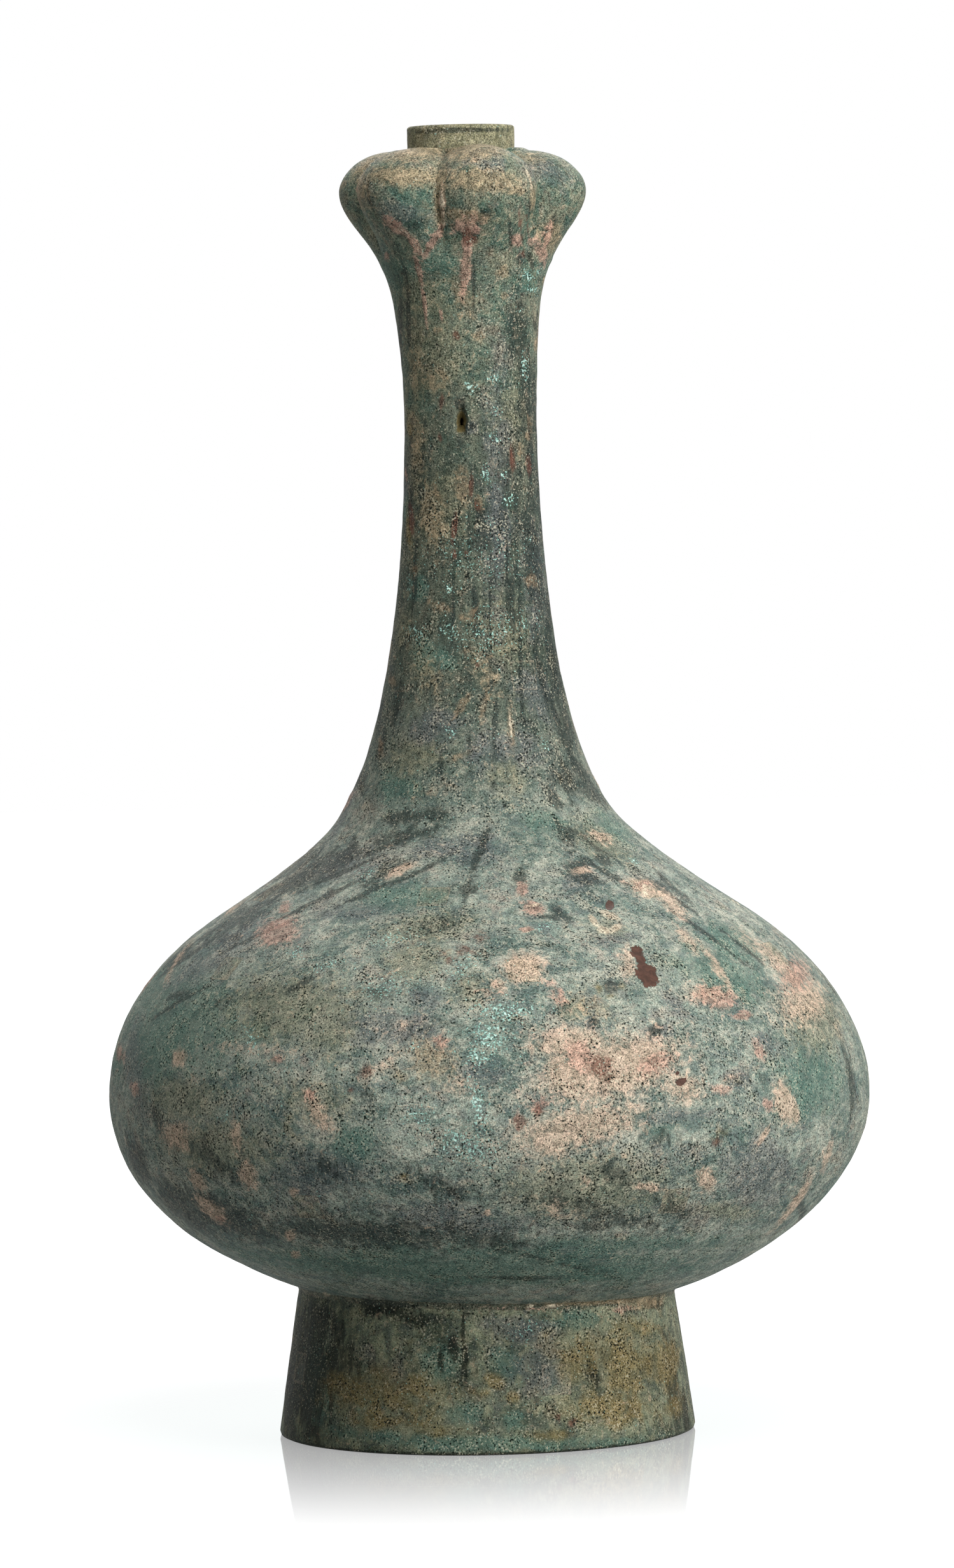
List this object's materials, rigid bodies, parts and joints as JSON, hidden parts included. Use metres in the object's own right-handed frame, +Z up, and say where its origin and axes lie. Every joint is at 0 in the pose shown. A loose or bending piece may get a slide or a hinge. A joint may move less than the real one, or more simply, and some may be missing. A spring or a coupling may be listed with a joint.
{
  "type": "garlic-mouth vase",
  "caption": "Bronze bottle vase with a squat round belly on a splayed foot ring, a slender neck and a lobed garlic-bulb mouth with a short collar.",
  "frame": {"origin": "centre of the foot ring's lower face, on the surface that the vase stands on", "axes": "+Z up along the vase's axis to the mouth; -Y towards the viewer in the picture, +X to the viewer's right"},
  "size_m": [0.2156, 0.2156, 0.3701],
  "materials": {
    "foot_ring": "matt, green bronze patina",
    "belly": "matt, green bronze patina",
    "neck_tube": "matt, green bronze patina",
    "garlic_head": "matt, green bronze patina",
    "mouth_collar": "matt, green bronze patina",
    "foot_solder": "matt, pale lead-tin crust",
    "base_loop": "matt, green bronze patina",
    "spacer": "matt, brown bronze with a thin crust"
  },
  "bodies": {
    "root": {"foot_ring": "foot_ring", "belly": "belly", "neck_tube": "neck_tube", "garlic_head": "garlic_head", "mouth_collar": "mouth_collar", "foot_solder": "foot_solder", "base_loop": "base_loop", "foot_spacer_1": "spacer", "foot_spacer_2": "spacer", "foot_spacer_3": "spacer", "foot_spacer_4": "spacer", "lower_spacer_1": "spacer", "lower_spacer_2": "spacer", "lower_spacer_3": "spacer", "lower_spacer_4": "spacer", "lower_spacer_5": "spacer", "lower_spacer_6": "spacer", "middle_spacer_1": "spacer", "middle_spacer_2": "spacer", "middle_spacer_3": "spacer", "middle_spacer_4": "spacer", "middle_spacer_5": "spacer", "middle_spacer_6": "spacer", "shoulder_spacer_1": "spacer", "shoulder_spacer_2": "spacer", "shoulder_spacer_3": "spacer", "shoulder_spacer_4": "spacer", "shoulder_spacer_5": "spacer", "shoulder_spacer_6": "spacer", "neck_spacer_1": "spacer", "neck_spacer_2": "spacer", "neck_spacer_3": "spacer", "neck_spacer_4": "spacer", "throat_spacer_1": "spacer", "throat_spacer_2": "spacer", "throat_spacer_3": "spacer"}
  },
  "joints": []
}
